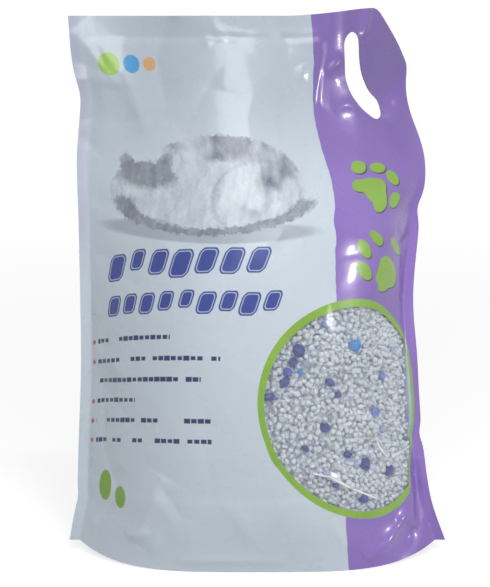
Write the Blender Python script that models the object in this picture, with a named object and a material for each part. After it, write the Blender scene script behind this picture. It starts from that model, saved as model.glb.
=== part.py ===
"""A stand-up film pouch of crystal cat litter, sealed, with a hand slot in one top corner.

The pouch is cut flat and then filled, so its two walls are laid out on the flat film first,
as t metres across from the middle and s metres up from the bottom edge. pouch_point then
carries each point of the flat film to its place on the filled pouch. The front faces -Y,
and the origin is the middle of the flat base.
"""

import math

import bmesh
import bpy
import numpy as np
from mathutils import Vector
from mathutils.geometry import delaunay_2d_cdt

# The film, laid flat
FLAT_WIDTH = 0.300
FLAT_HEIGHT = 0.415
FILM = 0.0002
LAYER_GAP = 0.0004
SIDE_SEAL = 0.008
TOP_SEAL = 0.015
CORNER_CUT = 0.044
CORNER_CUT_ROUNDING = 0.012

# The hand slot, an arc that turns round the cut corner; its centre is placed from the corner
SLOT_WIDTH = 0.016
SLOT_RADIUS = 0.060
SLOT_CENTRE_T = FLAT_WIDTH / 2 - 0.012
SLOT_CENTRE_S = FLAT_HEIGHT - 0.020
SLOT_START = math.radians(184)
SLOT_END = math.radians(240)
SLOT_POINTS = 9

# The seal that closes the pouch round the hand slot
SLOT_SEAL_MARGIN = 0.014
SLOT_SEAL_ROUNDING = 0.040
SLOT_SEAL_SLOPE = 0.070

# The filled pouch, as stations of height against half depth
HEIGHT_LOSS = 0.0105
DEPTHS = (
    (0.000, 0.042),
    (0.050, 0.054),
    (0.110, 0.061),
    (0.170, 0.061),
    (0.230, 0.053),
    (0.290, 0.037),
    (0.340, 0.018),
    (0.372, 0.006),
)
# Height against how far the filling draws in the left and the right edge
DRAWN_IN = (
    (0.000, 0.0060, 0.0050),
    (0.035, 0.0115, 0.0160),
    (0.090, 0.0150, 0.0245),
    (0.150, 0.0180, 0.0295),
    (0.200, 0.0185, 0.0315),
    (0.250, 0.0185, 0.0200),
    (0.300, 0.0180, 0.0010),
    (0.345, 0.0200, 0.0130),
    (0.372, 0.0160, 0.0070),
    (0.405, 0.0140, 0.0055),
)
BASE_FULLNESS = 3.6
BODY_FULLNESS = 2.2
FULLNESS_FADE = 0.050
CORNER_LIFT = 0.009
CORNER_LIFT_POWER = 6
CORNER_LIFT_FADE = 0.060

# The header, waved along its length and bent back beside the slot
WAVE_DEPTH = 0.009
WAVE_LENGTH = 0.170
WAVE_FOOT = 0.180
BEND_MIDDLE = FLAT_WIDTH / 2 - 0.086
BEND_RADIUS = 0.026
BEND_OPENING = 1.3
BEND_ANGLE = math.radians(56)
BEND_FOOT = 0.130
BEND_FULL = 0.360
HEADER_LIFT = 0.006
HEADER_LIFT_FOOT = 0.270
HEADER_LIFT_LEFT = 0.020
HEADER_LIFT_RUN = 0.090

# The strap between the slot and the cut corner, folded back along a line from its top to its foot
STRAP_TOP = (FLAT_WIDTH / 2 - 0.055, FLAT_HEIGHT - 0.010)
STRAP_FOOT = (FLAT_WIDTH / 2 - 0.008, FLAT_HEIGHT - 0.063)
STRAP_FOLD = 0.009
STRAP_SLOPE_END = 0.80
STRAP_RETURN_START = 0.86
STRAP_RETURN_END = 1.12
STRAP_EDGE = 0.004

# The bottom web, folded up between the walls
GUSSET_DEPTH = 0.052
GUSSET_SLACK = 0.0005
GUSSET_SLACK_FADE = 0.005
GUSSET_FOLD_ROOM = 0.002
GUSSET_FOLD_RUN = 0.010
GUSSET_MARGIN_ROWS = 4
GUSSET_BASE_ROWS = 9
SKIRT_CLEARANCE = 0.0003
BASE_FLAT_SHARE = 0.60
BASE_SHELF_SHARE = 0.70

# The litter
LITTER_GAP = 0.0026
LITTER_FLOOR_GAP = 0.0020
LITTER_TOP = 0.277
LITTER_HEAP = 0.012
LITTER_LEAN = 0.014
LITTER_HOLLOW = 0.0045
LITTER_SEED = 4
LITTER_CALM = 0.85

# The print on the front wall: height against the purple strip's width, and the window
STRIP_WIDTHS = (
    (0.000, 0.085),
    (0.045, 0.082),
    (0.120, 0.082),
    (0.208, 0.088),
    (0.248, 0.099),
    (0.317, 0.104),
    (0.415, 0.108),
)
WINDOW_CENTRE_T = FLAT_WIDTH / 2 - 0.072
WINDOW_CENTRE_S = 0.122
WINDOW_HALF_WIDTH = 0.067
WINDOW_HALF_HEIGHT = 0.080
WINDOW_LEAN = 0.070
RING_WIDTH = 0.0055

# Facets, and how close a filling point may come to a line, as a share of the step
FILM_COLUMNS = 20
FILM_STEP = FLAT_WIDTH / FILM_COLUMNS
LINE_CLEARANCE = 0.40
WINDOW_POINTS = 32
END_POINTS = 7
ROW_SAMPLES = 81
LITTER_CELLS = (24, 5, 22)
LITTER_WIDTH = 0.270

WALL_FRONT, WALL_BACK = -1.0, 1.0


def smooth_step(start, end, x):
    """0 before start and 1 after end, with an even slope at both."""
    share = np.clip((x - start) / (end - start), 0.0, 1.0)
    return share * share * (3.0 - 2.0 * share)


def station_curve(stations, column, x):
    """A smooth curve through the stations, as cubic stretches with slopes from the neighbours."""
    place = np.array([station[0] for station in stations])
    value = np.array([station[column] for station in stations])
    slope = np.gradient(value, place)
    x = np.clip(x, place[0], place[-1])
    left = np.clip(np.searchsorted(place, x, side="right") - 1, 0, len(place) - 2)
    span = place[left + 1] - place[left]
    share = (x - place[left]) / span
    rise, fall = share * share * (3.0 - 2.0 * share), share * share * (share - 1.0)
    start = share * (1.0 - share) ** 2
    return (
        value[left] * (1.0 - rise)
        + value[left + 1] * rise
        + span * (start * slope[left] + fall * slope[left + 1])
    )


def seal_top():
    """The height at which the top seal begins."""
    return FLAT_HEIGHT - HEIGHT_LOSS - TOP_SEAL


def half_depth(height):
    """Half the pouch's depth at its middle, down to nothing at the top seal."""
    stations = (*DEPTHS, (seal_top(), 0.0))
    return np.maximum(station_curve(stations, 1, height), 0.0)


def slot_seal_mask(across, height):
    """0 on the sealed corner round the slot, and 1 well outside it."""
    left = SLOT_CENTRE_T - SLOT_RADIUS - SLOT_WIDTH / 2 - SLOT_SEAL_MARGIN + SLOT_SEAL_ROUNDING
    foot = SLOT_CENTRE_S - SLOT_RADIUS - SLOT_WIDTH / 2 - SLOT_SEAL_MARGIN + SLOT_SEAL_ROUNDING
    outside = np.hypot(np.maximum(left - across, 0.0), np.maximum(foot - height, 0.0))
    return smooth_step(0.0, SLOT_SEAL_SLOPE, outside - SLOT_SEAL_ROUNDING)


def bulge(q, across, height):
    """How far a wall stands from the middle of the pouch; q runs from -1 to 1 between the side seals."""
    fade = np.exp(-height / FULLNESS_FADE)
    fullness = BODY_FULLNESS + (BASE_FULLNESS - BODY_FULLNESS) * fade
    crown = 1.0 - np.abs(np.clip(q, -1.0, 1.0)) ** fullness
    return half_depth(height) * crown * slot_seal_mask(across, height)


def web_room(height):
    """1 where the folded bottom web lies between the walls, and 0 above it."""
    foot = GUSSET_DEPTH + GUSSET_FOLD_ROOM
    return smooth_step(foot + GUSSET_FOLD_RUN, foot, height)


def layer_offset(height):
    """Half the space between the two walls in a seal, wider low down for the bottom web's two layers."""
    return LAYER_GAP / 2 + (FILM + LAYER_GAP) * web_room(height)


def middle_sheet(across, height):
    """Plan place and normal of the sheet halfway between the walls.

    The header is waved, and bent back round an upright cylinder beside the slot. The
    cylinder is wider lower down, where the back wall has to stay clear of its middle.
    """
    turn = BEND_ANGLE * smooth_step(BEND_FOOT, BEND_FULL, height)
    radius = BEND_RADIUS + BEND_OPENING * half_depth(height)
    start = BEND_MIDDLE - radius * turn / 2.0
    past = np.maximum(across - start, 0.0)
    angle = np.minimum(past / radius, turn)
    straight = np.maximum(past - radius * turn, 0.0)
    x = np.minimum(across, start) + radius * np.sin(angle) + straight * np.cos(angle)
    y = radius * (1.0 - np.cos(angle)) + straight * np.sin(angle)
    normal_x, normal_y = -np.sin(angle), np.cos(angle)
    rise = smooth_step(WAVE_FOOT, FLAT_HEIGHT, height)
    wave = WAVE_DEPTH * rise * np.sin(2.0 * math.pi * (across + FLAT_WIDTH / 2) / WAVE_LENGTH)
    return x + normal_x * wave, y + normal_y * wave, normal_x, normal_y


def row_place(q, height, wall, inset):
    """Plan place of a point of one wall's inner face, drawn inwards by inset."""
    half = FLAT_WIDTH / 2 - SIDE_SEAL
    left = station_curve(DRAWN_IN, 1, height) - half
    right = half - station_curve(DRAWN_IN, 2, height)
    inner = np.clip(q, -1.0, 1.0)
    across = left + (inner + 1.0) / 2.0 * (right - left) + (q - inner) * SIDE_SEAL
    x, y, normal_x, normal_y = middle_sheet(across, height)
    offset = bulge(q, across, height) + layer_offset(height) - inset
    return x + wall * normal_x * offset, y + wall * normal_y * offset


def row_share(t, height):
    """Where across the pouch a point of the flat film lands: q, with each seal worth 1 beyond -1 or 1.

    Between the seals the film keeps its width, so q follows the length along the bulging row.
    """
    samples = np.linspace(-1.0, 1.0, ROW_SAMPLES)
    x, y = row_place(samples[None, :], height[:, None], WALL_FRONT, 0.0)
    steps = np.hypot(np.diff(x, axis=1), np.diff(y, axis=1))
    length = np.concatenate([np.zeros((len(t), 1)), np.cumsum(steps, axis=1)], axis=1)
    inner_half = FLAT_WIDTH / 2 - SIDE_SEAL
    share = np.clip((t + inner_half) / (2.0 * inner_half), 0.0, 1.0)
    wanted = share * length[:, -1]
    cell = np.clip((length <= wanted[:, None]).sum(axis=1) - 1, 0, ROW_SAMPLES - 2)
    row = np.arange(len(t))
    start, end = length[row, cell], length[row, cell + 1]
    q = samples[cell] + (samples[1] - samples[0]) * (wanted - start) / (end - start)
    return q + np.sign(t) * np.maximum(np.abs(t) - inner_half, 0.0) / SIDE_SEAL


def edge_height(q):
    """Height of the walls' bottom edge, lifted at the two bottom corners."""
    return SKIRT_CLEARANCE + CORNER_LIFT * np.clip(np.abs(q), 0.0, 1.0) ** CORNER_LIFT_POWER


def strap_fold(t, s):
    """How far back the strap is folded: a long slope down from its top, and a short one back at its foot."""
    start, end = np.array(STRAP_TOP), np.array(STRAP_FOOT)
    way = end - start
    share = ((t - start[0]) * way[0] + (s - start[1]) * way[1]) / (way @ way)
    slope = smooth_step(0.0, STRAP_SLOPE_END, share)
    slope = slope * smooth_step(STRAP_RETURN_END, STRAP_RETURN_START, share)
    radius = np.hypot(t - SLOT_CENTRE_T, s - SLOT_CENTRE_S)
    return STRAP_FOLD * slope * smooth_step(SLOT_RADIUS + STRAP_EDGE, SLOT_RADIUS - STRAP_EDGE, radius)


def pouch_point(t, s, wall, inset=0.0):
    """Where the flat film's point (t, s) of a wall goes on the filled pouch."""
    height = s * (FLAT_HEIGHT - HEIGHT_LOSS) / FLAT_HEIGHT
    q = row_share(t, height)
    x, y = row_place(q, height, wall, inset)
    corner = edge_height(q) * np.exp(-height / CORNER_LIFT_FADE)
    header = HEADER_LIFT * smooth_step(HEADER_LIFT_LEFT, HEADER_LIFT_LEFT + HEADER_LIFT_RUN, t)
    header *= smooth_step(HEADER_LIFT_FOOT, FLAT_HEIGHT - TOP_SEAL, height)
    return np.stack([x, y + strap_fold(t, s), height + corner + header], axis=1)


def arc(centre, radius, start, end, points):
    """Points along an arc, both ends included."""
    angles = np.linspace(start, end, points)
    return np.stack([centre[0] + radius * np.cos(angles), centre[1] + radius * np.sin(angles)], 1)


def slot_outline():
    """The slot's two arcs with a half round at each end."""
    centre = np.array([SLOT_CENTRE_T, SLOT_CENTRE_S])
    half = SLOT_WIDTH / 2
    first, last = (
        centre + SLOT_RADIUS * np.array([math.cos(angle), math.sin(angle)])
        for angle in (SLOT_START, SLOT_END)
    )
    return np.concatenate([
        arc(centre, SLOT_RADIUS + half, SLOT_START, SLOT_END, SLOT_POINTS),
        arc(last, half, SLOT_END, SLOT_END + math.pi, END_POINTS)[1:-1],
        arc(centre, SLOT_RADIUS - half, SLOT_END, SLOT_START, SLOT_POINTS),
        arc(first, half, SLOT_START + math.pi, SLOT_START + 2.0 * math.pi, END_POINTS)[1:-1],
    ])


def film_columns():
    """Places across the film that its walls, the bottom web and the litter share as facet edges."""
    return (np.arange(FILM_COLUMNS + 1) / FILM_COLUMNS - 0.5) * FLAT_WIDTH


def divided(corners, step, closed):
    """The corners with points between them, at most step apart."""
    ends = corners[1:] + corners[:1] if closed else corners[1:]
    points = []
    for start, end in zip(corners, ends):
        start, end = np.array(start), np.array(end)
        count = max(1, round(float(np.linalg.norm(end - start)) / step))
        points += [start + (end - start) * i / count for i in range(count)]
    return np.array(points if closed else points + [np.array(corners[-1])])


def wall_outline():
    """A wall as cut: a rectangle with its top right corner cut off, and both ends of the cut eased."""
    half, ease = FLAT_WIDTH / 2, CORNER_CUT_ROUNDING / 2
    corners = [
        (-half, 0.0),
        (half, 0.0),
        (half, FLAT_HEIGHT - CORNER_CUT - ease),
        (half - ease / 2, FLAT_HEIGHT - CORNER_CUT + ease / 2),
        (half - CORNER_CUT + ease / 2, FLAT_HEIGHT - ease / 2),
        (half - CORNER_CUT - ease, FLAT_HEIGHT),
        (-half, FLAT_HEIGHT),
    ]
    return divided(corners, FILM_STEP, closed=True)


def window_outline(margin):
    """An oval that leans a little to the left."""
    angles = np.linspace(0.0, 2.0 * math.pi, WINDOW_POINTS, endpoint=False)
    up = (WINDOW_HALF_HEIGHT + margin) * np.sin(angles)
    across = (WINDOW_HALF_WIDTH + margin) * np.cos(angles) - WINDOW_LEAN * up
    return np.stack([WINDOW_CENTRE_T + across, WINDOW_CENTRE_S + up], 1)


def inside(outline, points):
    """Whether each point is inside a closed outline, by counting the sides to its right."""
    x, y = points[:, 0][:, None], points[:, 1][:, None]
    x1, y1 = outline[:, 0][None], outline[:, 1][None]
    x2, y2 = np.roll(outline[:, 0], -1)[None], np.roll(outline[:, 1], -1)[None]
    crosses = (y1 > y) != (y2 > y)
    rise = np.where(y2 == y1, 1.0, y2 - y1)
    return (crosses & (x < (x2 - x1) * (y - y1) / rise + x1)).sum(axis=1) % 2 == 1


def strip_left(s):
    """The left edge of the purple strip, which is wider at the top than at the foot."""
    return FLAT_WIDTH / 2 - station_curve(STRIP_WIDTHS, 1, s)


def flat_film():
    """Points and triangles of a wall laid flat, with edges along its seals, slot and print."""
    inner = FLAT_WIDTH / 2 - SIDE_SEAL
    strip_heights = np.linspace(0.0, FLAT_HEIGHT, round(FLAT_HEIGHT / FILM_STEP) + 1)
    closed = [wall_outline(), slot_outline(), window_outline(0.0), window_outline(RING_WIDTH)]
    open_lines = [
        divided([(-inner, 0.0), (-inner, FLAT_HEIGHT)], FILM_STEP, False),
        divided([(inner, 0.0), (inner, FLAT_HEIGHT - CORNER_CUT)], FILM_STEP, False),
        divided([(-FLAT_WIDTH / 2, FLAT_HEIGHT - TOP_SEAL),
                 (FLAT_WIDTH / 2 - CORNER_CUT, FLAT_HEIGHT - TOP_SEAL)], FILM_STEP, False),
        np.stack([strip_left(strip_heights), strip_heights], 1),
    ]
    points, edges = [], []
    for line in closed:
        first = len(points)
        points += [tuple(p) for p in line]
        edges += [(first + i, first + (i + 1) % len(line)) for i in range(len(line))]
    for line in open_lines:
        first = len(points)
        points += [tuple(p) for p in line]
        edges += [(first + i, first + i + 1) for i in range(len(line) - 1)]
    rows = round(FLAT_HEIGHT / FILM_STEP)
    t, s = np.meshgrid(film_columns()[1:-1], np.arange(1, rows) / rows * FLAT_HEIGHT)
    filling = np.stack([t.ravel(), s.ravel()], axis=1)
    lines = np.array(points)
    nearest = np.min(np.linalg.norm(filling[:, None] - lines[None], axis=2), axis=1)
    keep = (nearest > LINE_CLEARANCE * FILM_STEP) & inside(closed[0], filling)
    points += [tuple(p) for p in filling[keep]]
    flat, _, faces, *_ = delaunay_2d_cdt([Vector(p) for p in points], edges, [], 0, 1e-6, False)
    flat = np.array([tuple(p) for p in flat])
    faces = np.array([tuple(face) for face in faces])
    centres = flat[faces].mean(axis=1)
    kept = inside(closed[0], centres) & ~inside(closed[1], centres)
    return flat, faces[kept], centres[kept]


def finish(name, base_colour, roughness, alpha=1.0):
    """A Principled material in one colour."""
    material = bpy.data.materials.new(name)
    material.use_nodes = True
    shader = material.node_tree.nodes["Principled BSDF"]
    shader.inputs["Base Color"].default_value = (*base_colour, 1.0)
    shader.inputs["Roughness"].default_value = roughness
    shader.inputs["Metallic"].default_value = 0.0
    shader.inputs["Alpha"].default_value = alpha
    return material


def add_object(name, points, faces, materials, fields=None):
    """A mesh object, shaded smooth, with one material for each field of its faces."""
    mesh = bpy.data.meshes.new(name)
    mesh.from_pydata([tuple(p) for p in points], [], [tuple(int(i) for i in f) for f in faces])
    for material in materials:
        mesh.materials.append(material)
    if fields is not None:
        mesh.polygons.foreach_set("material_index", fields)
    mesh.shade_smooth()
    mesh.set_sharp_from_angle(angle=math.radians(40))
    made = bpy.data.objects.new(name, mesh)
    bpy.context.scene.collection.objects.link(made)
    return made


def thicken(made):
    """Gives a film its thickness, outwards from the modelled inner face."""
    modifier = made.modifiers.new("film", "SOLIDIFY")
    modifier.thickness = FILM
    modifier.offset = 1.0
    return made


def print_fields(centres):
    """0 white, 1 purple strip, 2 green ring, 3 clear window, for each face of the front wall."""
    fields = np.where(centres[:, 0] > strip_left(centres[:, 1]), 1, 0)
    fields[inside(window_outline(RING_WIDTH), centres)] = 2
    fields[inside(window_outline(0.0), centres)] = 3
    return fields


def make_walls():
    """The two walls are cut alike; only the front one is printed."""
    white = finish("white_film", (0.62, 0.66, 0.70), 0.30)
    purple = finish("purple_film", (0.27, 0.18, 0.50), 0.30)
    green = finish("green_print", (0.33, 0.54, 0.11), 0.30)
    clear = finish("clear_film", (0.85, 0.88, 0.90), 0.10, alpha=0.2)
    flat, faces, centres = flat_film()
    fields = print_fields(centres)
    for name, wall in (("front_wall", WALL_FRONT), ("back_wall", WALL_BACK)):
        points = pouch_point(flat[:, 0], flat[:, 1], wall)
        turned = faces if wall == WALL_FRONT else faces[:, ::-1]
        shown = fields if wall == WALL_FRONT else np.minimum(fields, 0)
        thicken(add_object(name, points, turned, (white, purple, green, clear), shown))


def base_rise(q):
    """Height of the base along its middle: flat, then up to the web's full depth at the sides."""
    share = np.clip((np.abs(q) - BASE_FLAT_SHARE) / (1.0 - BASE_FLAT_SHARE), 0.0, 1.0)
    return GUSSET_DEPTH * share * share


def seal_height(t):
    """Height at which the bottom web leaves a wall.

    The web is twice GUSSET_DEPTH wide, so what crosses from wall to wall is lost to its two margins.
    """
    q = row_share(t, np.zeros_like(t))
    _, y = row_place(q, np.zeros_like(t), WALL_BACK, 0.0)
    return np.clip(GUSSET_DEPTH - np.abs(y), SKIRT_CLEARANCE, None)


def shelf(share):
    """0 over the middle of the base, and 1 at a wall."""
    past = np.clip((np.abs(share) - BASE_SHELF_SHARE) / (1.0 - BASE_SHELF_SHARE), 0.0, 1.0)
    return past * past


def make_bottom_web():
    """One film, folded up between the walls: a margin on each wall and the base between them."""
    margin = np.linspace(0.0, 1.0, GUSSET_MARGIN_ROWS)
    crossing = np.linspace(-1.0, 1.0, GUSSET_BASE_ROWS + 2)[1:-1]
    inner = FLAT_WIDTH / 2 - SIDE_SEAL
    t = np.sort(np.append(film_columns(), [-inner, inner]))
    q = row_share(t, np.zeros_like(t))
    inset = LAYER_GAP + FILM + GUSSET_SLACK * smooth_step(
        0.0, GUSSET_SLACK_FADE, bulge(q, t, np.zeros_like(t)))
    height = seal_height(t)
    rows = [pouch_point(t, height * share, WALL_FRONT, inset) for share in margin]
    rows_back = [pouch_point(t, height * share, WALL_BACK, inset) for share in margin[::-1]]
    front, back = rows[-1], rows_back[0]
    middle = base_rise(q)
    for share in crossing:
        point = front + (back - front) * (share + 1.0) / 2.0
        point[:, 2] = middle + (front[:, 2] - middle) * shelf(share)
        rows.append(point)
    rows += rows_back
    grid = np.array(rows)
    count = len(rows)
    points = grid.reshape(-1, 3)
    i, j = np.meshgrid(np.arange(count - 1), np.arange(len(t) - 1), indexing="ij")
    corner = (i * len(t) + j).ravel()
    faces = np.stack([corner, corner + 1, corner + len(t) + 1, corner + len(t)], 1)
    white = finish("base_film", (0.60, 0.64, 0.68), 0.32)
    return thicken(add_object("bottom_web", points, faces, (white,)))


def block_surface(cells):
    """Points and faces of the skin of a block from -1 to 1, cut into cells."""
    mesh = bmesh.new()
    for axis in range(3):
        a, b = [k for k in range(3) if k != axis]
        for end in (-1.0, 1.0):
            grid = {}
            for i in range(cells[a] + 1):
                for j in range(cells[b] + 1):
                    place = [0.0, 0.0, 0.0]
                    place[axis] = end
                    place[a] = -1.0 + 2.0 * i / cells[a]
                    place[b] = -1.0 + 2.0 * j / cells[b]
                    grid[i, j] = mesh.verts.new(place)
            for i in range(cells[a]):
                for j in range(cells[b]):
                    mesh.faces.new((grid[i, j], grid[i + 1, j], grid[i + 1, j + 1], grid[i, j + 1]))
    bmesh.ops.remove_doubles(mesh, verts=mesh.verts, dist=1e-6)
    bmesh.ops.recalc_face_normals(mesh, faces=mesh.faces)
    mesh.verts.index_update()
    points = np.array([tuple(vertex.co) for vertex in mesh.verts])
    faces = [[vertex.index for vertex in face.verts] for face in mesh.faces]
    mesh.free()
    return points, faces


def make_litter():
    """The litter is a block shaped by its pouch: walls at each side, the base below, a low heap on top.

    Its grains leave hollows of up to LITTER_HOLLOW behind each wall, away from its thin sides and foot.
    """
    block, faces = block_surface(LITTER_CELLS)
    t, depth, up = block[:, 0] * LITTER_WIDTH / 2, block[:, 1], (block[:, 2] + 1.0) / 2.0
    q = row_share(t, np.zeros_like(t))
    middle = base_rise(q)
    floor = middle + (seal_height(t) + edge_height(q) - middle) * shelf(depth) + LITTER_FLOOR_GAP
    height = floor + (LITTER_TOP + LITTER_HEAP * (1.0 - q * q) - LITTER_LEAN * q - floor) * up
    row = np.maximum(height, seal_height(t))
    q = row_share(t, row)
    hollows = np.random.default_rng(LITTER_SEED).uniform(0.0, LITTER_HOLLOW, len(block))
    hollows *= smooth_step(1.0, LITTER_CALM, np.abs(block[:, 0])) * smooth_step(0.0, 1.0 - LITTER_CALM, up)
    inset = LITTER_GAP + hollows + (FILM + LAYER_GAP + GUSSET_SLACK) * web_room(row)
    front = np.stack(row_place(q, row, WALL_FRONT, inset), 1)
    back = np.stack(row_place(q, row, WALL_BACK, inset), 1)
    plan = front + (back - front) * ((depth + 1.0) / 2.0)[:, None]
    points = np.concatenate([plan, height[:, None]], axis=1)
    crystals = finish("silica_crystals", (0.72, 0.77, 0.82), 0.35)
    return add_object("litter", points, faces, (crystals,))


def main():
    for old in list(bpy.data.objects):
        bpy.data.objects.remove(old)
    make_walls()
    make_bottom_web()
    make_litter()


main()
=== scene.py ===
"""The looks of a filled stand-up pouch of crystal cat litter, with a hand slot and a clear window.

The pouch is two film walls, a folded bottom film and the litter. Each wall is laid out on the flat
film first, as t metres across from the middle and s metres up from the bottom edge, and film_point
carries every point of the flat film to its place on the filled pouch. The front faces -Y.
"""

import math

import bpy
import numpy as np
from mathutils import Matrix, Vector
from mathutils.geometry import delaunay_2d_cdt


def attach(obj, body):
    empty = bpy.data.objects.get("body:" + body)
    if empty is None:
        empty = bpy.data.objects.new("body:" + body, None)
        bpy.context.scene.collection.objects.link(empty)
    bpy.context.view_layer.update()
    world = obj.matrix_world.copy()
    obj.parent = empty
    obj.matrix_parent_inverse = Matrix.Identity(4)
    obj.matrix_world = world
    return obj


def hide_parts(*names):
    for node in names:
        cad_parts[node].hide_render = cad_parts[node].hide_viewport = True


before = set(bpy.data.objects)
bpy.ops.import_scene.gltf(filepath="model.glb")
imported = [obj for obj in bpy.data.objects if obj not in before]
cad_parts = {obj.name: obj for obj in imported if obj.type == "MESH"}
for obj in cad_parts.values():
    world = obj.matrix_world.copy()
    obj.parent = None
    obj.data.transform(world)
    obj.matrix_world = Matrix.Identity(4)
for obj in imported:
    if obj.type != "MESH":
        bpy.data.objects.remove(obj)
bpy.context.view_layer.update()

MM = 0.001

# The film, laid flat
FLAT_WIDTH = 0.300
FLAT_HEIGHT = 0.415
FILM = 0.0002
LAYER_GAP = 0.0004
SIDE_SEAL = 0.008
TOP_SEAL = 0.015
CORNER_CUT = 0.044
CORNER_CUT_ROUNDING = 0.012

# The hand slot, an arc that turns round the cut corner
SLOT_WIDTH = 0.016
SLOT_RADIUS = 0.060
SLOT_CENTRE_T = FLAT_WIDTH / 2 - 0.012
SLOT_CENTRE_S = FLAT_HEIGHT - 0.020
SLOT_START = math.radians(184)
SLOT_END = math.radians(240)
SLOT_SEAL_MARGIN = 0.014
SLOT_SEAL_ROUNDING = 0.040
SLOT_SEAL_SLOPE = 0.070

# The filled pouch, as stations of height against half depth
HEIGHT_LOSS = 0.0105
DEPTHS = (
    (0.000, 0.042), (0.050, 0.054), (0.110, 0.061), (0.170, 0.061),
    (0.230, 0.053), (0.290, 0.037), (0.340, 0.018), (0.372, 0.006),
)
# Height against how far the filling draws in the left and the right edge
DRAWN_IN = (
    (0.000, 0.0060, 0.0050),
    (0.035, 0.0115, 0.0160),
    (0.090, 0.0150, 0.0245),
    (0.150, 0.0180, 0.0295),
    (0.200, 0.0185, 0.0315),
    (0.250, 0.0185, 0.0200),
    (0.300, 0.0180, 0.0010),
    (0.345, 0.0200, 0.0130),
    (0.372, 0.0160, 0.0070),
    (0.405, 0.0140, 0.0055),
)
BASE_FULLNESS = 3.6
BODY_FULLNESS = 2.2
FULLNESS_FADE = 0.050
CORNER_LIFT = 0.009
CORNER_LIFT_POWER = 6
CORNER_LIFT_FADE = 0.060

# The header, waved along its length and bent back beside the slot
WAVE_DEPTH = 0.009
WAVE_LENGTH = 0.170
WAVE_FOOT = 0.180
BEND_MIDDLE = FLAT_WIDTH / 2 - 0.086
BEND_RADIUS = 0.026
BEND_OPENING = 1.3
BEND_ANGLE = math.radians(56)
BEND_FOOT = 0.130
BEND_FULL = 0.360
HEADER_LIFT = 0.006
HEADER_LIFT_FOOT = 0.270
HEADER_LIFT_LEFT = 0.020
HEADER_LIFT_RUN = 0.090

# The strap outside the slot, folded back from its top to its foot
STRAP_TOP = (0.095, 0.405)
STRAP_FOOT = (0.142, 0.352)
STRAP_FOLD = 0.009
STRAP_SLOPE_END = 0.80
STRAP_RETURN_START = 0.86
STRAP_RETURN_END = 1.12
STRAP_EDGE = 0.004

# The bottom web, folded up between the walls
GUSSET_DEPTH = 0.052
GUSSET_SLACK = 0.0005
GUSSET_SLACK_FADE = 0.005
GUSSET_FOLD_ROOM = 0.002
GUSSET_FOLD_RUN = 0.010
SKIRT_CLEARANCE = 0.0003
BASE_FLAT_SHARE = 0.60
BASE_SHELF_SHARE = 0.70

# The litter
LITTER_GAP = 0.0026
LITTER_FLOOR_GAP = 0.0020
LITTER_TOP = 0.277
LITTER_HEAP = 0.012
LITTER_LEAN = 0.014
LITTER_CELLS = (110, 40, 96)
LITTER_HALF_WIDTH = 0.135
LITTER_LUMPS = 0.0009
LITTER_EASE = 0.0012
GRAIN_BED = 0.0036

# Dents in the pouch's two side edges: side, height, half height and depth, in millimetres
EDGE_DENTS = ((1, 262, 9, 3.6), (1, 92, 8, 2.0), (-1, 348, 14, 1.5), (-1, 40, 10, 1.2))

# Folds that both walls share, in flat millimetres: points, width and height forwards
SHEET_FOLDS = (
    (((97, 416), (93, 404), (89, 394)), 3.4, 2.6),
    (((-140, 410), (-112, 372), (-96, 330)), 16.0, 2.5),
    (((-70, 416), (-82, 385), (-78, 350)), 14.0, -2.0),
    (((-36, 416), (-24, 388), (-30, 362)), 12.0, 1.6),
    (((10, 416), (22, 392), (18, 368)), 10.0, -1.4),
    (((58, 371), (63, 376), (69, 382)), 3.4, 2.0),
    (((67, 344), (78, 347), (90, 344)), 3.2, 1.5),
    (((148, 76), (146, 48), (141, 18)), 3.2, 2.2),
    (((142, 72), (138, 46), (131, 16)), 3.6, -2.6),
    (((149, 50), (148, 34), (146, 14)), 3.0, -1.8),
)

# Folds of the front wall alone, in flat millimetres: points, width and height outwards
FRONT_FOLDS = (
    (((-36, 405), (-8, 401), (18, 403), (52, 400)), 2.8, 0.9),
    (((-44, 400), (-41, 397), (-38, 394)), 2.6, 1.0),
    (((35, 379), (37, 372), (36, 366)), 3.0, 1.3),
    (((-9, 312), (-9, 300), (-4, 281)), 3.6, 1.9),
    (((-19, 281), (-11, 279), (-3, 276)), 3.4, 1.6),
    (((12, 322), (13, 304), (8, 284)), 8.0, 1.4),
    (((12, 263), (8, 258), (3, 253)), 2.6, 0.9),
    (((-71, 322), (-65, 317), (-60, 311)), 2.6, 0.9),
    (((-95, 281), (-90, 286), (-84, 292)), 3.0, 0.9),
    (((101, 104), (107, 91), (112, 81)), 3.0, 2.1),
    (((112, 82), (126, 82), (141, 86)), 3.0, 1.2),
    (((44, 83), (58, 79), (74, 68), (98, 54)), 3.2, 2.3),
    (((127, 38), (113, 27), (98, 17), (81, 4)), 5.0, 5.0),
    (((126, 22), (115, 11), (106, 0)), 7.0, -4.5),
    (((136, 60), (132, 40), (124, 20)), 4.0, 1.8),
    (((-128, 192), (-126, 140), (-122, 88), (-104, 52)), 7.0, -1.9),
    (((-66, 78), (-78, 52), (-93, 22)), 9.0, 3.0),
    (((-98, 24), (-88, 27), (-78, 30)), 2.8, 1.4),
    (((-104, 78), (-118, 50), (-128, 24)), 6.0, -1.6),
    (((110, 256), (124, 248), (142, 244)), 6.0, -1.8),
    (((-60, 9), (-20, 10), (20, 9)), 4.0, 1.2),
)

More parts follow.
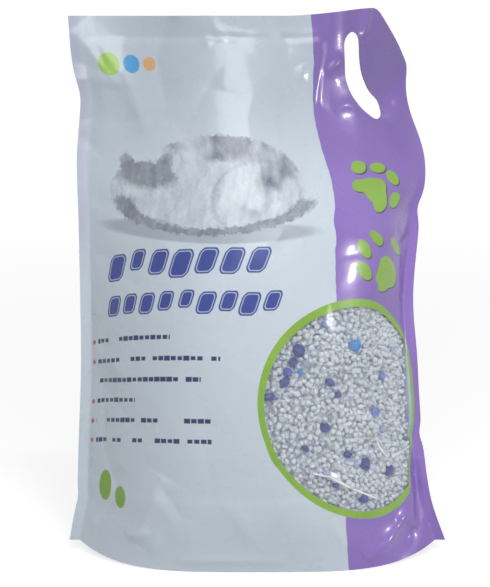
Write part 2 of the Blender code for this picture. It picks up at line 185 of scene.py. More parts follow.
# Crumpling, as short creases thrown over parts of the film, in millimetres and degrees:
# how many, then the ranges of across, up, angle from level, width, half length and height
SHEET_CREASES = (
    (14, (-140, 60), (318, 404), (30, 150), (8, 17), (22, 48), (0.7, 1.6)),
    (8, (60, 140), (318, 400), (0, 180), (5, 11), (14, 30), (0.5, 1.1)),
    (8, (-148, -105), (320, 400), (-35, 35), (5, 9), (12, 26), (0.7, 1.3)),
)
WALL_CREASES = (
    (12, (-146, -104), (70, 320), (-30, 30), (4, 8), (12, 28), (0.6, 1.5)),
    (12, (104, 146), (70, 320), (-30, 30), (4, 8), (12, 28), (0.6, 1.5)),
    (18, (-110, 110), (60, 300), (20, 160), (11, 22), (24, 55), (0.35, 0.8)),
    (12, (-110, 110), (230, 330), (0, 180), (5, 10), (12, 28), (0.35, 0.8)),
    (14, (-140, 140), (4, 55), (55, 125), (4, 9), (12, 28), (0.5, 1.4)),
)

CREASE_ROUNDING = 1.2
CREASE_BEND = 0.10
SHEET_SEED, FRONT_SEED, BACK_SEED = 5, 11, 12

# How far the empty header's walls stand apart
HEADER_PUFF = 0.0011

# The window and its ring
WINDOW_CENTRE_T = 0.0850
WINDOW_CENTRE_S = 0.1253
WINDOW_HALF_WIDTH = 0.0739
WINDOW_HALF_HEIGHT = 0.0799
WINDOW_LEAN = 0.146
WINDOW_COVER = 0.0018
RING_CENTRE_T = 0.0843
RING_HALF_WIDTH = 0.0779
RING_HALF_HEIGHT = 0.0859

# The ring's right side: flat height against its distance from the middle, in millimetres
RING_SIDE = (
    (0, 128), (45, 131), (63, 134.5), (78, 137.5), (87, 142.5), (97, 144.5),
    (122, 146), (145, 145.5), (162, 143.5), (180, 139), (415, 139),
)

# How finely the flat film is cut up, and how close a filling point may come to a cut line
FILM_STEP = 0.00180
LINE_CLEARANCE = 0.55
ROW_SAMPLES = 81

WALL_FRONT, WALL_BACK = -1.0, 1.0


def smooth_step(start, end, x):
    """0 before start and 1 after end, with an even slope at both."""
    share = np.clip((x - start) / (end - start), 0.0, 1.0)
    return share * share * (3.0 - 2.0 * share)


def station_curve(stations, column, x):
    """A smooth curve through the stations, as cubic stretches with slopes from the neighbours."""
    place = np.array([station[0] for station in stations])
    value = np.array([station[column] for station in stations])
    slope = np.gradient(value, place)
    x = np.clip(x, place[0], place[-1])
    left = np.clip(np.searchsorted(place, x, side="right") - 1, 0, len(place) - 2)
    span = place[left + 1] - place[left]
    share = (x - place[left]) / span
    rise, fall = share * share * (3.0 - 2.0 * share), share * share * (share - 1.0)
    start = share * (1.0 - share) ** 2
    return (
        value[left] * (1.0 - rise)
        + value[left + 1] * rise
        + span * (start * slope[left] + fall * slope[left + 1])
    )


def half_depth(height):
    """Half the pouch's depth at its middle, down to nothing at the top seal."""
    stations = (*DEPTHS, (FLAT_HEIGHT - HEIGHT_LOSS - TOP_SEAL, 0.0))
    return np.maximum(station_curve(stations, 1, height), 0.0)


def slot_seal_distance(across, height):
    """How far a point lies outside the sealed corner round the slot, a rounded rectangle."""
    left = SLOT_CENTRE_T - SLOT_RADIUS - SLOT_WIDTH / 2 - SLOT_SEAL_MARGIN + SLOT_SEAL_ROUNDING
    foot = SLOT_CENTRE_S - SLOT_RADIUS - SLOT_WIDTH / 2 - SLOT_SEAL_MARGIN + SLOT_SEAL_ROUNDING
    outside = np.hypot(np.maximum(left - across, 0.0), np.maximum(foot - height, 0.0))
    return outside - SLOT_SEAL_ROUNDING


def bulge(q, across, height):
    """How far a wall stands from the middle of the pouch: a crown between the side seals."""
    fade = np.exp(-height / FULLNESS_FADE)
    fullness = BODY_FULLNESS + (BASE_FULLNESS - BODY_FULLNESS) * fade
    crown = 1.0 - np.abs(np.clip(q, -1.0, 1.0)) ** fullness
    return half_depth(height) * crown * smooth_step(0.0, SLOT_SEAL_SLOPE, slot_seal_distance(across, height))


def web_room(height):
    """1 where the folded bottom web lies between the walls, and 0 above it."""
    foot = GUSSET_DEPTH + GUSSET_FOLD_ROOM
    return smooth_step(foot + GUSSET_FOLD_RUN, foot, height)


def layer_offset(height):
    """Half the space between the two walls in a seal, wider low down for the web's two layers."""
    return LAYER_GAP / 2 + (FILM + LAYER_GAP) * web_room(height)


def middle_sheet(across, height):
    """Plan place and normal of the sheet halfway between the walls, waved and bent back on the right."""
    turn = BEND_ANGLE * smooth_step(BEND_FOOT, BEND_FULL, height)
    radius = BEND_RADIUS + BEND_OPENING * half_depth(height)
    start = BEND_MIDDLE - radius * turn / 2.0
    past = np.maximum(across - start, 0.0)
    angle = np.minimum(past / radius, turn)
    straight = np.maximum(past - radius * turn, 0.0)
    x = np.minimum(across, start) + radius * np.sin(angle) + straight * np.cos(angle)
    y = radius * (1.0 - np.cos(angle)) + straight * np.sin(angle)
    normal_x, normal_y = -np.sin(angle), np.cos(angle)
    rise = smooth_step(WAVE_FOOT, FLAT_HEIGHT, height)
    wave = WAVE_DEPTH * rise * np.sin(2.0 * math.pi * (across + FLAT_WIDTH / 2) / WAVE_LENGTH)
    return x + normal_x * wave, y + normal_y * wave, normal_x, normal_y


def edge_dent(height, side):
    """How far the small dents of one side edge reach inwards: a bell for each."""
    depth = np.zeros_like(height)
    for dent_side, centre, half_height, size in EDGE_DENTS:
        if dent_side == side:
            depth += size * MM * np.exp(-((height - centre * MM) / (half_height * MM)) ** 2)
    return depth


def row_place(q, height, wall, offset):
    """Plan place of a point of one wall, moved outwards by offset; q runs from -1 to 1 between the seals."""
    half = FLAT_WIDTH / 2 - SIDE_SEAL
    left = station_curve(DRAWN_IN, 1, height) + edge_dent(height, -1) - half
    right = half - station_curve(DRAWN_IN, 2, height) - edge_dent(height, 1)
    inner = np.clip(q, -1.0, 1.0)
    across = left + (inner + 1.0) / 2.0 * (right - left) + (q - inner) * SIDE_SEAL
    x, y, normal_x, normal_y = middle_sheet(across, height)
    reach = bulge(q, across, height) + layer_offset(height) + offset
    return x + wall * normal_x * reach, y + wall * normal_y * reach


def row_share(t, height):
    """Where across the pouch a point of the flat film lands, so that its rows keep their length."""
    samples = np.linspace(-1.0, 1.0, ROW_SAMPLES)
    x, y = row_place(samples[None, :], height[:, None], WALL_FRONT, 0.0)
    steps = np.hypot(np.diff(x, axis=1), np.diff(y, axis=1))
    length = np.concatenate([np.zeros((len(t), 1)), np.cumsum(steps, axis=1)], axis=1)
    inner_half = FLAT_WIDTH / 2 - SIDE_SEAL
    share = np.clip((t + inner_half) / (2.0 * inner_half), 0.0, 1.0)
    wanted = share * length[:, -1]
    cell = np.clip((length <= wanted[:, None]).sum(axis=1) - 1, 0, ROW_SAMPLES - 2)
    row = np.arange(len(t))
    start, end = length[row, cell], length[row, cell + 1]
    q = samples[cell] + (samples[1] - samples[0]) * (wanted - start) / (end - start)
    return q + np.sign(t) * np.maximum(np.abs(t) - inner_half, 0.0) / SIDE_SEAL


def edge_height(q):
    """Height of the walls' bottom edge, lifted at the two bottom corners."""
    return SKIRT_CLEARANCE + CORNER_LIFT * np.clip(np.abs(q), 0.0, 1.0) ** CORNER_LIFT_POWER


def fold(t, s, points, width, height):
    """A ridge along a line: it falls off as e to the minus distance over width, and fades at both ends."""
    place = np.array(points) * MM
    leg = np.linalg.norm(np.diff(place, axis=0), axis=1)
    run = np.concatenate([[0.0], np.cumsum(leg)])
    nearest = np.full(t.shape, np.inf)
    along = np.zeros(t.shape)
    for i, (start, end) in enumerate(zip(place[:-1], place[1:])):
        way = end - start
        share = np.clip(((t - start[0]) * way[0] + (s - start[1]) * way[1]) / leg[i] ** 2, 0.0, 1.0)
        distance = np.hypot(t - start[0] - share * way[0], s - start[1] - share * way[1])
        closer = distance < nearest
        nearest = np.where(closer, distance, nearest)
        along = np.where(closer, (run[i] + share * leg[i]) / run[-1], along)
    taper = np.sqrt(np.clip(4.0 * along * (1.0 - along), 0.0, 1.0))
    crest = np.exp((FILM_STEP - np.hypot(nearest, FILM_STEP)) / (width * MM))
    return height * MM * crest * (0.15 + 0.85 * taper)


def creases(t, s, seed, table):
    """Crumpling: short creases at odd places, each a ridge or a valley along a slightly bent line."""
    random = np.random.default_rng(seed)
    total = np.zeros(t.shape)
    for count, *ranges in table:
        for _ in range(count):
            draws = (random.uniform(*limits) for limits in ranges)
            middle_t, middle_s, angle, width, reach, height = draws
            turn = math.radians(angle)
            right, up = t / MM - middle_t, s / MM - middle_s
            along = right * math.cos(turn) + up * math.sin(turn)
            across = up * math.cos(turn) - right * math.sin(turn)
            phase = random.uniform(0.0, 6.3)
            bent = across + CREASE_BEND * reach * np.sin(along / (0.6 * reach) + phase)
            away = np.hypot(bent, CREASE_ROUNDING) - CREASE_ROUNDING
            crest = np.exp(-away / width - (along / reach) ** 2)
            total += random.choice((-1.0, 1.0)) * height * MM * crest
    return total


def strap_fold(t, s):
    """How far the strap outside the slot is folded back: a slow slope from its top, and a quick return."""
    way = np.subtract(STRAP_FOOT, STRAP_TOP)
    share = ((t - STRAP_TOP[0]) * way[0] + (s - STRAP_TOP[1]) * way[1]) / (way @ way)
    slope = smooth_step(0.0, STRAP_SLOPE_END, share)
    slope *= smooth_step(STRAP_RETURN_END, STRAP_RETURN_START, share)
    radius = np.hypot(t - SLOT_CENTRE_T, s - SLOT_CENTRE_S)
    return STRAP_FOLD * slope * smooth_step(SLOT_RADIUS + STRAP_EDGE, SLOT_RADIUS - STRAP_EDGE, radius)


def sheet_shift(t, s):
    """How far forwards both walls lie of the smooth sheet: shared folds, and crumpling in the header."""
    total = sum(fold(t, s, *line) for line in SHEET_FOLDS)
    return total + creases(t, s, SHEET_SEED, SHEET_CREASES) * smooth_step(0.270, 0.350, s)


def wall_puff(t, s, wall):
    """How far outwards one wall stands of its smooth crown: its own folds, the seals' steps, crumpling."""
    inner = FLAT_WIDTH / 2 - SIDE_SEAL
    free = smooth_step(inner, inner - 0.012, np.abs(t))
    free = free * smooth_step(FLAT_HEIGHT - TOP_SEAL, FLAT_HEIGHT - TOP_SEAL - 0.006, s)
    free = free * smooth_step(0.0, 0.006, slot_seal_distance(t, s))
    total = HEADER_PUFF * free * smooth_step(0.300, 0.360, s)
    filled = smooth_step(0.350, 0.300, s)
    seed = FRONT_SEED if wall == WALL_FRONT else BACK_SEED
    total += free * filled * creases(t, s, seed, WALL_CREASES)
    if wall == WALL_FRONT:
        folds = sum(fold(t, s, *line) for line in FRONT_FOLDS)
        total += folds * smooth_step(inner + 0.004, inner - 0.010, np.abs(t))
    return total * smooth_step(-0.004, 0.016, s)


def pouch_height(s):
    """Height on the filled pouch of a level of the flat film."""
    return s * (FLAT_HEIGHT - HEIGHT_LOSS) / FLAT_HEIGHT


def film_point(t, s, wall, inset=0.0):
    """Where the flat film's point (t, s) of a wall goes on the filled pouch."""
    height = pouch_height(s)
    q = row_share(t, height)
    forwards = sheet_shift(t, s)
    x, y = row_place(q, height, wall, wall_puff(t, s, wall) - inset - wall * forwards)
    corner = edge_height(q) * np.exp(-height / CORNER_LIFT_FADE)
    header = HEADER_LIFT * smooth_step(HEADER_LIFT_LEFT, HEADER_LIFT_LEFT + HEADER_LIFT_RUN, t)
    header *= smooth_step(HEADER_LIFT_FOOT, FLAT_HEIGHT - TOP_SEAL, height)
    return np.stack([x, y + strap_fold(t, s), height + corner + header], axis=1)


def arc(centre, radius, start, end, step):
    """Points along an arc, both ends included, about step apart."""
    angles = np.linspace(start, end, max(3, round(abs(end - start) * radius / step)))
    return np.stack([centre[0] + radius * np.cos(angles), centre[1] + radius * np.sin(angles)], 1)


def slot_outline():
    """The slot's two arcs with a half round at each end."""
    centre = np.array([SLOT_CENTRE_T, SLOT_CENTRE_S])
    half = SLOT_WIDTH / 2
    first, last = (
        centre + SLOT_RADIUS * np.array([math.cos(angle), math.sin(angle)])
        for angle in (SLOT_START, SLOT_END)
    )
    return np.concatenate([
        arc(centre, SLOT_RADIUS + half, SLOT_START, SLOT_END, FILM_STEP),
        arc(last, half, SLOT_END, SLOT_END + math.pi, FILM_STEP)[1:-1],
        arc(centre, SLOT_RADIUS - half, SLOT_END, SLOT_START, FILM_STEP),
        arc(first, half, SLOT_START + math.pi, SLOT_START + 2.0 * math.pi, FILM_STEP)[1:-1],
    ])


def divided(corners, step):
    """A closed outline through the corners, with points at most step apart."""
    points = []
    for start, end in zip(corners, corners[1:] + corners[:1]):
        start, end = np.array(start), np.array(end)
        count = max(1, round(float(np.linalg.norm(end - start)) / step))
        points += [start + (end - start) * i / count for i in range(count)]
    return np.array(points)


def wall_outline():
    """A wall as cut: a rectangle with its top right corner cut off, and both ends of the cut rounded."""
    half, ease = FLAT_WIDTH / 2, CORNER_CUT_ROUNDING / 2
    bend = ease / math.tan(math.radians(22.5))
    corners = [(-half, 0.0), (half, 0.0)]
    low = np.array([half - bend, FLAT_HEIGHT - CORNER_CUT - ease])
    high = np.array([half - CORNER_CUT - ease, FLAT_HEIGHT - bend])
    corners += [tuple(p) for p in arc(low, bend, 0.0, math.pi / 4, FILM_STEP)]
    corners += [tuple(p) for p in arc(high, bend, math.pi / 4, math.pi / 2, FILM_STEP)]
    corners += [(-half, FLAT_HEIGHT)]
    return divided(corners, FILM_STEP)


def window_side(s):
    """How far right the ring reaches, where folds cut it off."""
    return np.interp(s / MM, *zip(*RING_SIDE)) * MM


def window_outline():
    """The clear part: an oval that leans a little to the left, cut off on its right."""
    angles = np.linspace(0.0, 2.0 * math.pi, 240, endpoint=False)
    s = WINDOW_CENTRE_S + WINDOW_HALF_HEIGHT * np.sin(angles)
    t = WINDOW_CENTRE_T + WINDOW_HALF_WIDTH * np.cos(angles) - WINDOW_LEAN * (s - WINDOW_CENTRE_S)
    return np.stack([np.minimum(t, window_side(s) - WINDOW_COVER), s], 1)


def inside(outline, points):
    """Whether each point is inside a closed outline, by counting the sides to its right."""
    odd = np.zeros(len(points), dtype=bool)
    x, y = points[:, 0], points[:, 1]
    for (x1, y1), (x2, y2) in zip(outline, np.roll(outline, -1, axis=0)):
        if y1 != y2:
            crosses = (y1 > y) != (y2 > y)
            odd ^= crosses & (x < (x2 - x1) * (y - y1) / (y2 - y1) + x1)
    return odd


def line_distance(outlines, points):
    """Distance of each point from the nearest outline point, looked up in a coarse grid of marked cells."""
    cell = FILM_STEP / 4
    size = (int(FLAT_WIDTH / cell) + 20, int(FLAT_HEIGHT / cell) + 20)
    marked = np.zeros(size, dtype=bool)
    for outline in outlines:
        ends = np.roll(outline, -1, axis=0)
        for share in np.linspace(0.0, 1.0, 9):
            place = outline + (ends - outline) * share
            i = np.round((place + [FLAT_WIDTH / 2, 0.0]) / cell).astype(int) + 8
            marked[i[:, 0], i[:, 1]] = True
    at = np.round((points + [FLAT_WIDTH / 2, 0.0]) / cell).astype(int) + 8
    nearest = np.full(len(points), np.inf)
    for i in range(-3, 4):
        for j in range(-3, 4):
            hit = marked[at[:, 0] + i, at[:, 1] + j]
            nearest = np.where(hit, np.minimum(nearest, cell * math.hypot(i, j)), nearest)
    return nearest


def flat_film():
    """Points and triangles of a wall laid flat, with edges along its outline, its slot and its window."""
    outlines = [wall_outline(), slot_outline(), window_outline()]
    points, edges = [], []
    for line in outlines:
        first = len(points)
        points += [tuple(p) for p in line]
        edges += [(first + i, first + (i + 1) % len(line)) for i in range(len(line))]
    rows = round(FLAT_HEIGHT / (FILM_STEP * math.sqrt(0.75)))
    columns = round(FLAT_WIDTH / FILM_STEP)
    i, j = np.meshgrid(np.arange(1, rows), np.arange(0, columns))
    t = ((j + 0.5 * (i % 2) + 0.25) / columns - 0.5) * FLAT_WIDTH
    filling = np.stack([t.ravel(), (i / rows * FLAT_HEIGHT).ravel()], axis=1)
    filling = filling[line_distance(outlines, filling) > LINE_CLEARANCE * FILM_STEP]
    filling = filling[inside(outlines[0], filling)]
    points += [tuple(p) for p in filling]
    flat, _, faces, *_ = delaunay_2d_cdt([Vector(p) for p in points], edges, [], 0, 1e-7, False)
    flat = np.array([tuple(p) for p in flat])
    faces = np.array([tuple(face) for face in faces])
    centres = flat[faces].mean(axis=1)
    kept = inside(outlines[0], centres) & ~inside(outlines[1], centres)
    return flat, faces[kept], inside(outlines[2], centres[kept])


def thickened(points, faces):
    """A closed film from one surface: a second one FILM outwards along the normals, and a rim between."""
    corner = points[faces]
    across = np.cross(corner[:, 1] - corner[:, 0], corner[:, 2] - corner[:, 0])
    normal = np.zeros_like(points)
    for k in range(3):
        np.add.at(normal, faces[:, k], across)
    normal /= np.maximum(np.linalg.norm(normal, axis=1, keepdims=True), 1e-12)
    count = len(points)
    sides = np.concatenate([faces[:, [0, 1]], faces[:, [1, 2]], faces[:, [2, 0]]])
    key = np.sort(sides, axis=1)
    _, first, uses = np.unique(key[:, 0] * count + key[:, 1], return_index=True, return_counts=True)
    rim = sides[first[uses == 1]]
    low, high = rim[:, 0], rim[:, 1]
    rim_faces = np.concatenate([
        np.stack([low, low + count, high], 1)[:, ::-1],
        np.stack([high, low + count, high + count], 1)[:, ::-1],
    ])
    return (
        np.concatenate([points, points + normal * FILM]),
        np.concatenate([faces + count, faces[:, ::-1], rim_faces]),
        len(rim_faces),
    )


def make_piece(name, points, faces, materials, fields=None, film_map=None, tint=None, smooth=True):
    """A mesh object of triangles, with a UV map or a colour for each point where it has one."""
    mesh = bpy.data.meshes.new(name)
    mesh.vertices.add(len(points))
    mesh.vertices.foreach_set("co", np.ascontiguousarray(points, dtype=np.float32).ravel())
    mesh.loops.add(3 * len(faces))
    mesh.loops.foreach_set("vertex_index", np.ascontiguousarray(faces, dtype=np.int32).ravel())
    mesh.polygons.add(len(faces))
    mesh.polygons.foreach_set("loop_start", np.arange(0, 3 * len(faces), 3, dtype=np.int32))
    for material in materials:
        mesh.materials.append(material)
    if fields is not None:
        mesh.polygons.foreach_set("material_index", np.asarray(fields, dtype=np.int32))
    mesh.update(calc_edges=True)
    if smooth:
        mesh.shade_smooth()
        mesh.set_sharp_from_angle(angle=math.radians(55))
    else:
        mesh.shade_flat()
    if film_map is not None:
        layer = mesh.uv_layers.new(name="film")
        layer.data.foreach_set("uv", film_map[faces.ravel()].astype(np.float32).ravel())
    if tint is not None:
        layer = mesh.color_attributes.new("grain", "FLOAT_COLOR", "POINT")
        colour = np.concatenate([tint, np.ones((len(tint), 1))], axis=1)
        layer.data.foreach_set("color", colour.astype(np.float32).ravel())
    mesh.validate()
    made = bpy.data.objects.new(name, mesh)
    bpy.context.scene.collection.objects.link(made)
    return made


class Wire:
    """A shader socket in an expression: each sum, product or comparison adds a Math node."""

    def __init__(self, graph, socket):
        self.graph, self.socket = graph, socket

    def __add__(self, other):
        return self.graph.maths("ADD", self, other)

    __radd__ = __add__

    def __sub__(self, other):
        return self.graph.maths("SUBTRACT", self, other)

    def __rsub__(self, other):
        return self.graph.maths("SUBTRACT", other, self)

    def __mul__(self, other):
        return self.graph.maths("MULTIPLY", self, other)

    __rmul__ = __mul__

    def __truediv__(self, other):
        return self.graph.maths("DIVIDE", self, other)

    def __gt__(self, other):
        return self.graph.maths("GREATER_THAN", self, other)

    def __lt__(self, other):
        return self.graph.maths("LESS_THAN", self, other)


class Graph:
    """A material's node tree, written as expressions on Wires."""

    def __init__(self, name):
        self.material = bpy.data.materials.new(name)
        self.material.use_nodes = True
        self.tree = self.material.node_tree
        self.tree.nodes.clear()
        self.out = self.tree.nodes.new("ShaderNodeOutputMaterial")

    def node(self, kind, inputs=(), output=0, stops=None, jump=False, **settings):
        """A node with its settings, then its inputs by name or number, as values or links."""
        made = self.tree.nodes.new("ShaderNode" + kind)
        for name, value in settings.items():
            setattr(made, name, value)
        if stops is not None:
            ramp = made.color_ramp
            ramp.interpolation = "CONSTANT" if jump else "LINEAR"
            ramp.elements[1].position, ramp.elements[0].position = stops[-1][0], stops[0][0]
            for place, _ in stops[1:-1]:
                ramp.elements.new(place)
            for element, (_, value) in zip(ramp.elements, stops):
                element.color = (value, value, value, 1.0)
        for name, value in dict(inputs).items():
            if isinstance(value, Wire):
                self.tree.links.new(value.socket, made.inputs[name])
            else:
                made.inputs[name].default_value = value
        return Wire(self, made.outputs[output])

    def maths(self, operation, *values, clamp=False):
        return self.node("Math", enumerate(values), operation=operation, use_clamp=clamp)

    def vector_maths(self, operation, values, output=0):
        return self.node("VectorMath", enumerate(values), output, operation=operation)

    def mix(self, share, below, above):
        """Colour below where share is 0, and above where it is 1."""
        inputs = {0: share, 6: below, 7: above}
        return self.node("Mix", inputs, 2, data_type="RGBA")

    def noise(self, place, size, detail=2.0, roughness=0.5, output=0):
        inputs = {"Vector": place, "Scale": 1.0 / size, "Detail": detail, "Roughness": roughness}
        return self.node("TexNoise", inputs, output)

    def rise(self, value, start, end):
        """0 at start and 1 at end, with an even slope at both."""
        return self.node("MapRange", {"Value": value, 1: start, 2: end}, interpolation_type="SMOOTHSTEP")

    def beside(self, wire, output):
        """Another output of the node that a wire comes from."""
        return Wire(self, wire.socket.node.outputs[output])

    def soft(self, distance, edge):
        """1 where a distance is below nothing and 0 where it is above, over a soft edge."""
        return self.maths("MULTIPLY_ADD", distance, -1.0 / edge, 0.5, clamp=True)

    def paint(self, colour, distance, edge, tone, share=1.0):
        """A tone laid over a colour inside a shape, given by its distance."""
        return self.mix(self.soft(distance, edge) * share, colour, tone)

    def finish(self, shader):
        self.tree.links.new(shader.socket, self.out.inputs["Surface"])
        return self.material


def rgb(red, green, blue):
    """A colour given as screen values from 0 to 255."""
    channels = [value / 255.0 for value in (red, green, blue)]
    return (*[((c + 0.055) / 1.055) ** 2.4 if c > 0.04045 else c / 12.92 for c in channels], 1.0)


WHITE = (1.0, 1.0, 1.0, 1.0)
WHITE_FILM = rgb(206, 218, 229)
# Painted shade, tinted violet, for the upper left edge where the film turns away
LEFT_EDGE_PAINTED_SHADE = rgb(184, 182, 212)
# Painted shade that darkens the film above the filling, partly also the film looking greyer with no litter
# behind it
HEADER_PAINTED_SHADE = (0.75, 0.76, 0.775, 1.0)
PURPLE = rgb(148, 118, 198)
PURPLE_DEEP = rgb(126, 97, 180)
GREEN = rgb(148, 192, 74)
GREEN_DEEP = rgb(122, 168, 44)
BLUE = rgb(45, 66, 150)
NAVY = rgb(28, 38, 96)
RED = rgb(186, 84, 92)
FUR_DARK = rgb(98, 106, 122)
FUR_MID = rgb(142, 151, 165)
FUR_PALE = rgb(184, 195, 207)
FUR_LIGHT = rgb(214, 223, 232)
SHADOW = rgb(38, 44, 46)

# The purple strip's left edge: flat height against its distance from the middle, in millimetres
STRIP_EDGE = ((0, 65), (45, 68), (120, 68), (208, 62), (248, 51), (317, 46), (349, 48), (393, 44), (415, 42))

# Coloured grains against the window: across, up and radius in millimetres, and which tone
COLOURED_GRAINS = (
    (35, 176, 4.0, 0), (31, 168, 3.6, 0), (27, 161, 2.8, 1), (25, 153, 3.6, 0), (14, 142, 3.8, 0),
    (60, 150, 3.4, 0), (67, 140, 2.8, 0), (56, 116, 4.0, 0), (41, 101, 2.6, 0), (75, 92, 3.2, 0),
    (89, 82, 4.2, 0), (111, 70, 4.8, 0), (84, 55, 4.4, 1), (82, 175, 4.4, 2), (101, 121, 3.8, 3),
    (137, 109, 3.6, 3), (110, 148, 3.4, 3), (54, 194, 2.8, 3), (37, 160, 2.2, 2), (62, 70, 2.4, 1),
)
GRAIN_TONES = (rgb(8, 32, 142), rgb(28, 62, 176), rgb(0, 136, 212), rgb(104, 130, 208))

# Painted highlights: white lines along the window's sharp creases, as thin ovals in flat millimetres
WINDOW_PAINTED_HIGHLIGHTS = (
    (51.0, 81.0, 8.6, 0.6, -16),
    (66.0, 73.5, 10.8, 1.0, -34),
    (86.0, 61.0, 14.0, 0.7, -30),
    (106.5, 92.5, 12.6, 0.6, -64),
    (126.5, 84.0, 14.6, 0.35, 8),
)

# Paw prints, as ovals: centre, half sizes and turn in flat millimetres and degrees
PAW_TOES = (
    (77.2, 302.5, 7.8, 4.4, 0), (96.3, 300.8, 7.8, 3.5, -5),
    (109.8, 293.0, 7.1, 4.3, -33), (110.6, 277.6, 7.3, 5.3, -5),
    (86.2, 253.5, 8.6, 3.6, -37), (75.6, 247.0, 9.8, 3.9, -43),
    (79.9, 231.0, 10.5, 4.2, -40), (113.8, 244.4, 13.4, 3.2, -33),
)
PAW_PADS = (
    (
        (73.0, 290.3, 6.5, 4.0, 0), (84.0, 289.6, 12.0, 5.0, 0), (94.0, 288.0, 7.2, 5.4, 0),
        (86.0, 283.0, 9.5, 5.0, -35), (93.5, 281.0, 6.5, 8.0, 0), (93.2, 275.8, 7.0, 4.8, 0),
    ),
    ((109.0, 226.5, 18.5, 7.6, -38), (101.5, 227.0, 8.5, 9.0, 0), (107.5, 217.5, 9.0, 5.0, 0)),
)

PAW_SHADOW_SHIFT = (-0.9, 0.9, 0.0)

# The rows of stones: seed, level, half height, left end, right end and pitch, in millimetres
STONE_ROWS = ((3.0, 243.0, 10.5, -122.0, 6.0, 18.3), (8.0, 213.5, 8.6, -122.0, 20.0, 15.8))

# The rows of dashes, from the bottom: right ends, the bottom row's foot, and pitches, in millimetres
DASH_ENDS = (-28.0, -28.0, -91.0, -36.0, -22.0, -61.0)
DASH_START = -133.0
DASH_FOOT = 100.6
DASH_ROW = 15.8
DASH_PITCH = 5.2
DASH_ROW_WITHOUT_SPOT = 3.0

# Spots: across, radius and tone. Drops: across, up and half sizes. All in millimetres
SPOT_LEVEL = 380.0
SPOTS = ((-122.0, 8.5, rgb(150, 190, 84)), (-104.0, 6.6, rgb(64, 150, 205)), (-89.0, 5.2, rgb(206, 160, 110)))
DROPS = ((-121.0, 58.0, 6.5, 13.0), (-105.0, 53.0, 5.2, 9.0))


def oval(graph, place, across, up, half_width, half_height, turn=0.0):
    """A distance-like value of an oval: its radius share less 1, times its mean half size."""
    inputs = {
        "Vector": place,
        "Location": (across, up, 0.0),
        "Rotation": (0.0, 0.0, math.radians(turn)),
        "Scale": (half_width, half_height, 1.0),
    }
    local = graph.node("Mapping", inputs, vector_type="TEXTURE")
    radius = graph.vector_maths("LENGTH", [local], "Value")
    return (radius - 1.0) * ((half_width + half_height) / 2.0)


def merged(graph, place, ovals, ease):
    """The outline round some ovals, eased where they meet."""
    distance = oval(graph, place, *ovals[0])
    for part in ovals[1:]:
        distance = graph.maths("SMOOTH_MIN", distance, oval(graph, place, *part), ease)
    return distance


def paws(graph, place):
    """The nearest edge of the paw prints' toes and pads."""
    distance = None
    for toe in PAW_TOES:
        value = oval(graph, place, *toe)
        distance = value if distance is None else graph.maths("MINIMUM", distance, value)
    for pad in PAW_PADS:
        distance = graph.maths("MINIMUM", distance, merged(graph, place, pad, 4.0))
    return distance


def film_surface(graph, colour, place):
    """Gloss laminate film: fine crinkles in the normal, and a little haze that comes and goes."""
    crinkle = graph.noise(place, 26.0, 4.0, 0.55)
    fine = graph.noise(place, 3.2, 2.0, 0.5)
    bump = graph.node("Bump", {"Strength": 0.30, "Distance": 0.0012, "Height": crinkle + fine * 0.05})
    haze = graph.noise(place, 40.0, 3.0, 0.6)
    inputs = {
        "Base Color": colour,
        "Roughness": 0.20 + haze * 0.16,
        "Normal": bump,
        "Specular IOR Level": 0.5,
        "Coat Weight": 0.35,
        "Coat Roughness": 0.09,
    }
    return graph.node("BsdfPrincipled", inputs)


def film_place(graph):
    """The flat film's place in millimetres, and its parts: across from the middle, and up from the edge."""
    width, height = FLAT_WIDTH / MM, FLAT_HEIGHT / MM
    inputs = {
        "Vector": graph.node("UVMap", uv_map="film"),
        "Scale": (width, height, 1.0),
        "Location": (-width / 2, 0.0, 0.0),
    }
    place = graph.node("Mapping", inputs, vector_type="POINT")
    across = graph.node("SeparateXYZ", {"Vector": place})
    return place, across, graph.beside(across, 1)


def height_curve(graph, up, stations):
    """A value that follows the stations of film height, in millimetres, along straight stretches."""
    tall, wide = FLAT_HEIGHT / MM, FLAT_WIDTH / MM / 2
    stops = [(height / tall, value / wide) for height, value in stations]
    return graph.node("ValToRGB", {"Fac": up / tall}, stops=stops) * wide


def base_film_colour(graph, place, across, up):
    """White film with the purple strip down its right side, with painted shade above the filling and along
    the upper left edge.
    """
    wave = graph.noise(graph.node("CombineXYZ", {"X": up}), 16.0, 2.0)
    edge = height_curve(graph, up, STRIP_EDGE) + wave * 2.4 - 1.2
    strip = graph.soft(edge - across, 0.5)
    deep = graph.noise(place, 90.0, 2.0)
    purple = graph.mix(graph.maths("MULTIPLY_ADD", deep, 2.4, -0.85, clamp=True), PURPLE, PURPLE_DEEP)
    # Painted shade, tinted violet, along the upper left edge where the film turns away
    rim = graph.rise(across, -139.0, -147.0) * graph.rise(up, 215.0, 265.0)
    white = graph.mix(rim * 0.5, WHITE_FILM, LEFT_EDGE_PAINTED_SHADE)
    # Painted shade over the header above the filling, partly also the film's greyer look with no litter
    # behind it
    shade = graph.mix(graph.rise(up, 285.0, 375.0), WHITE, HEADER_PAINTED_SHADE)
    tone = graph.mix(strip, white, purple)
    return graph.node("Mix", {0: 1.0, 6: tone, 7: shade}, 2, data_type="RGBA", blend_type="MULTIPLY")


def front_film():
    """The printed front: the strip, the window's ring, paw prints and plain shapes."""
    graph = Graph("printed_film")
    place, across, up = film_place(graph)
    colour = base_film_colour(graph, place, across, up)
    colour = picture(graph, colour, place)
    colour = stone_rows(graph, colour, across, up)
    colour = dash_rows(graph, colour, across, up)
    colour = small_motifs(graph, colour, place)
    shifted = graph.vector_maths("ADD", [place, PAW_SHADOW_SHIFT])
    colour = graph.paint(colour, paws(graph, shifted), 0.7, SHADOW)
    green = graph.mix(graph.noise(place, 30.0, 1.0), GREEN_DEEP, GREEN)
    colour = graph.paint(colour, paws(graph, place), 0.5, green)
    colour = graph.paint(colour, ring_distance(graph, across, up), 0.5, green)
    return graph.finish(film_surface(graph, colour, place))


